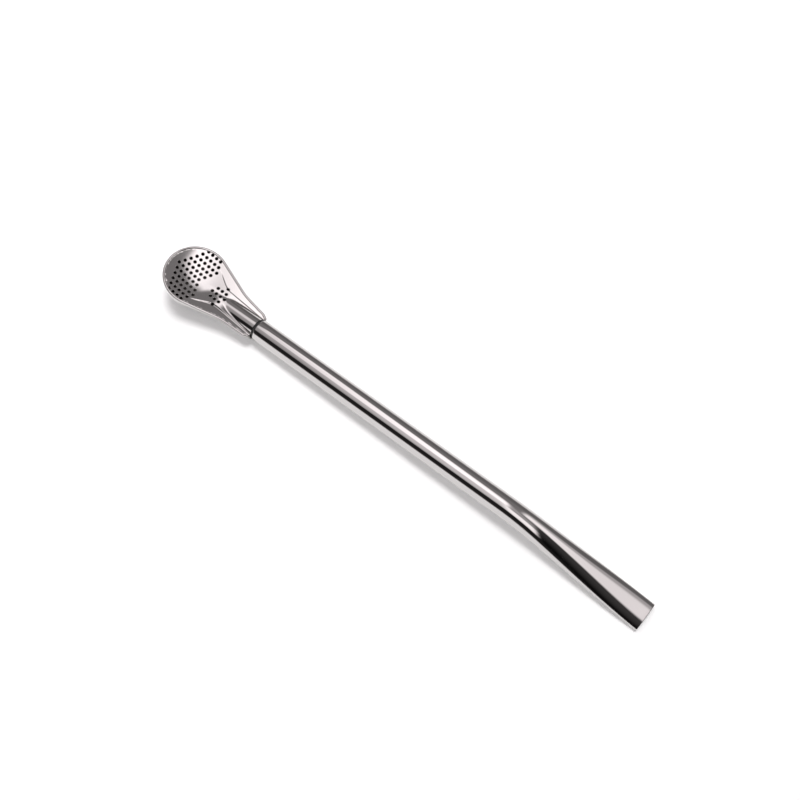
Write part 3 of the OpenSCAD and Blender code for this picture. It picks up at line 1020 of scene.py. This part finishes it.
def main_light(tree, x, y, dark):
    left = fade(tree, leaning(tree, x, y, -0.5), -345, -295, 0, 1)
    right = fade(tree, leaning(tree, y, x, 1.1), 0, 150, 1, 0.12)
    far = fade(tree, leaning(tree, y, x, 0.4), 115, 180, 1, 0)
    near = fade(tree, y, -470, -340, 0, 1)
    far_part = fade(tree, y, -120, -60, 0, 1)
    near_part = fade(tree, x, -60, 0, 0.48, 0.9)
    strength = combine(tree, "MAXIMUM", far_part, near_part)
    left_part = fade(tree, x, -300, -60, 0.5, 1)
    far_edge = fade(tree, y, 60, 130, 0, 0.8)
    falling_off = combine(tree, "MAXIMUM", left_part, far_edge)
    over_tube = product(tree, fade(tree, x, -35, 15, 0, 1), fade(tree, y, -160, -90, 0, 1))
    free = product(tree, fade(tree, over_tube, 0, 1, 1, 0.2), fade(tree, dark, 0, 1, 1, 0))
    return product(tree, left, right, far, near, strength, falling_off, free, MAIN_LIGHT)


def second_light(tree, x, y):
    left = fade(tree, x, 30, 65, 0, 1)
    right_part = fade(tree, x, 130, 210, 1, 0.75)
    right = fade(tree, x, 240, 330, 1, 0)
    far_part = fade(tree, y, 240, 330, 1, 0.35)
    far = fade(tree, y, 380, 500, 1, 0)
    near = fade(tree, y, 70, 120, 0, 1)
    return product(tree, left, right_part, right, far_part, far, near, SECOND_LIGHT)


def grey_wall(tree, y, dark):
    rising = fade(tree, y, -350, 150, 0.02, 0.26)
    far = fade(tree, y, 350, 600, 1, 0.7)
    return product(tree, rising, far, fade(tree, dark, 0, 1, 1, 0.25))


# %% Ceiling with its lights
CEILING_HEIGHT = 0.4
CEILING_HALF = 0.6


def ceiling_material():
    material, tree, surface, place = empty_material("ceiling_lights")
    split = tree.nodes.new("ShaderNodeSeparateXYZ")
    tree.links.new(place, split.inputs["Vector"])
    x = combine(tree, "DIVIDE", split.outputs["X"], MM)
    y = combine(tree, "DIVIDE", split.outputs["Y"], MM)
    dark = dark_over_mouthpiece(tree, x, y)
    lights = combine(tree, "ADD", main_light(tree, x, y, dark), grey_wall(tree, y, dark))
    lights = combine(tree, "ADD", lights, second_light(tree, x, y))
    glow = tree.nodes.new("ShaderNodeEmission")
    glow.inputs["Color"].default_value = (*LIGHT_TINT, 1)
    tree.links.new(lights, glow.inputs["Strength"])
    tree.links.new(glow.outputs[0], surface)
    return material


ceiling = stage_sheet("ceiling", CEILING_HALF, CEILING_HEIGHT, ceiling_material())
ceiling.visible_camera = False
ceiling.visible_shadow = False
print("ceiling at", CEILING_HEIGHT, "m")

# %% [markdown]
# A soft lamp straight above lights the floor and makes the shadow under the straw. It is kept out
# of the mirror, because the room already holds the light that shows there.

# %% Soft lamp from above
LAMP_LEVEL = 1.6
LAMP_SPREAD = math.radians(20)
LAMP_LEAN = math.radians(-3)

lamp = bpy.data.lights.new("overhead", "SUN")
lamp.energy = LAMP_LEVEL
lamp.angle = LAMP_SPREAD
lamp_object = bpy.data.objects.new("overhead", lamp)
lamp_object.rotation_euler = (LAMP_LEAN, 0, 0)
lamp_object.visible_glossy = False
bpy.context.scene.collection.objects.link(lamp_object)
print("lamp of", lamp.energy)

# %% [markdown]
# ## Camera
# The camera was found from the photograph: with the sizes of the part known, the rows of holes, the
# edges of the tube and the end of the mouthpiece fix where it stood. It was close, about 0.4 m
# away, so the mouthpiece looks larger than the neck. A target to look at would leave its roll open,
# so its place, the way it looks and its right-hand side are set directly.

# %% Camera of the photograph
EYE = Vector((0.100791, -0.144594, 0.337201))
LOOK = Vector((-0.278637, 0.403552, -0.871497))
RIGHT = Vector((0.780327, 0.624122, 0.039516))
FOCAL_PX = 1200
IMAGE_PX = 800
SENSOR = 36.0
NEAREST = 0.01

back_axis = -LOOK.normalized()
up_axis = back_axis.cross(RIGHT).normalized()
right_axis = up_axis.cross(back_axis)
camera = bpy.data.cameras.new("photo_camera")
camera.sensor_width = SENSOR
camera.lens = FOCAL_PX * SENSOR / IMAGE_PX
camera.clip_start = NEAREST
camera_object = bpy.data.objects.new("photo_camera", camera)
turn = Matrix((right_axis, up_axis, back_axis)).transposed()
camera_object.matrix_world = Matrix.Translation(EYE) @ turn.to_4x4()
bpy.context.scene.collection.objects.link(camera_object)
bpy.context.scene.camera = camera_object
bpy.context.scene.view_settings.view_transform = "Standard"
print("lens", camera.lens, "mm")
